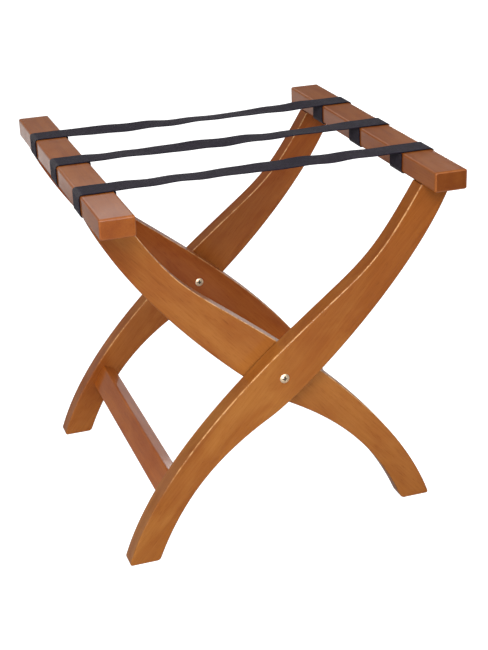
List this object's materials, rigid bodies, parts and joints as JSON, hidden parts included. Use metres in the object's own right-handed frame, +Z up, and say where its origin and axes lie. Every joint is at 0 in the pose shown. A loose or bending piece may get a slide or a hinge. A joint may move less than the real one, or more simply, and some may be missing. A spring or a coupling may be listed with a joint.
{
  "type": "folding luggage rack",
  "caption": "Folding wooden luggage rack: two crossed frames with curved legs on a pair of pivots, square rails and dark webbing straps.",
  "frame": {"origin": "on the floor under the middle of the rack, halfway between the rails and halfway along them", "axes": "+X from the left rail to the right rail, +Y along the rails away from the side where the outer frame's foot stands at the left, +Z up"},
  "size_m": [0.4886, 0.525, 0.5098],
  "materials": {
    "rail_wood": "golden brown stain under satin lacquer",
    "leg_wood": "golden brown stain under satin lacquer",
    "stretcher_wood": "golden brown stain under satin lacquer",
    "dowel_wood": "plain beech, hidden in the joints",
    "zinc_steel": "bright zinc plate",
    "staple_steel": "galvanised wire",
    "nylon": "natural nylon",
    "webbing": "dark charcoal woven polypropylene webbing"
  },
  "bodies": {
    "outer_frame": {"right_top_rail": "rail_wood", "outer_stretcher": "stretcher_wood", "outer_leg_near": "leg_wood", "outer_leg_near_rail_dowel_1": "dowel_wood", "outer_leg_near_rail_dowel_2": "dowel_wood", "outer_leg_near_stretcher_dowel_1": "dowel_wood", "outer_leg_near_stretcher_dowel_2": "dowel_wood", "outer_leg_far": "leg_wood", "outer_leg_far_rail_dowel_1": "dowel_wood", "outer_leg_far_rail_dowel_2": "dowel_wood", "outer_leg_far_stretcher_dowel_1": "dowel_wood", "outer_leg_far_stretcher_dowel_2": "dowel_wood", "pivot_screw_near": "zinc_steel", "pivot_sleeve_near": "zinc_steel", "pivot_washer_near": "nylon", "pivot_screw_far": "zinc_steel", "pivot_sleeve_far": "zinc_steel", "pivot_washer_far": "nylon", "strap_near_span": "webbing", "strap_near_right_wrap": "webbing", "strap_near_right_staple_1": "staple_steel", "strap_near_right_staple_2": "staple_steel", "strap_middle_span": "webbing", "strap_middle_right_wrap": "webbing", "strap_middle_right_staple_1": "staple_steel", "strap_middle_right_staple_2": "staple_steel", "strap_far_span": "webbing", "strap_far_right_wrap": "webbing", "strap_far_right_staple_1": "staple_steel", "strap_far_right_staple_2": "staple_steel"},
    "inner_frame": {"left_top_rail": "rail_wood", "inner_stretcher": "stretcher_wood", "inner_leg_near": "leg_wood", "inner_leg_near_rail_dowel_1": "dowel_wood", "inner_leg_near_rail_dowel_2": "dowel_wood", "inner_leg_near_stretcher_dowel_1": "dowel_wood", "inner_leg_near_stretcher_dowel_2": "dowel_wood", "inner_leg_far": "leg_wood", "inner_leg_far_rail_dowel_1": "dowel_wood", "inner_leg_far_rail_dowel_2": "dowel_wood", "inner_leg_far_stretcher_dowel_1": "dowel_wood", "inner_leg_far_stretcher_dowel_2": "dowel_wood", "strap_near_left_wrap": "webbing", "strap_near_left_staple_1": "staple_steel", "strap_near_left_staple_2": "staple_steel", "strap_middle_left_wrap": "webbing", "strap_middle_left_staple_1": "staple_steel", "strap_middle_left_staple_2": "staple_steel", "strap_far_left_wrap": "webbing", "strap_far_left_staple_1": "staple_steel", "strap_far_left_staple_2": "staple_steel"}
  },
  "joints": [
    {"name": "fold_hinge", "type": "hinge", "parent": "outer_frame", "child": "inner_frame", "pos_m": [0, 0, 0.239], "axis": [0, 1, 0], "range_deg": [0, 70], "deforming": ["strap_near_span", "strap_middle_span", "strap_far_span"]}
  ]
}
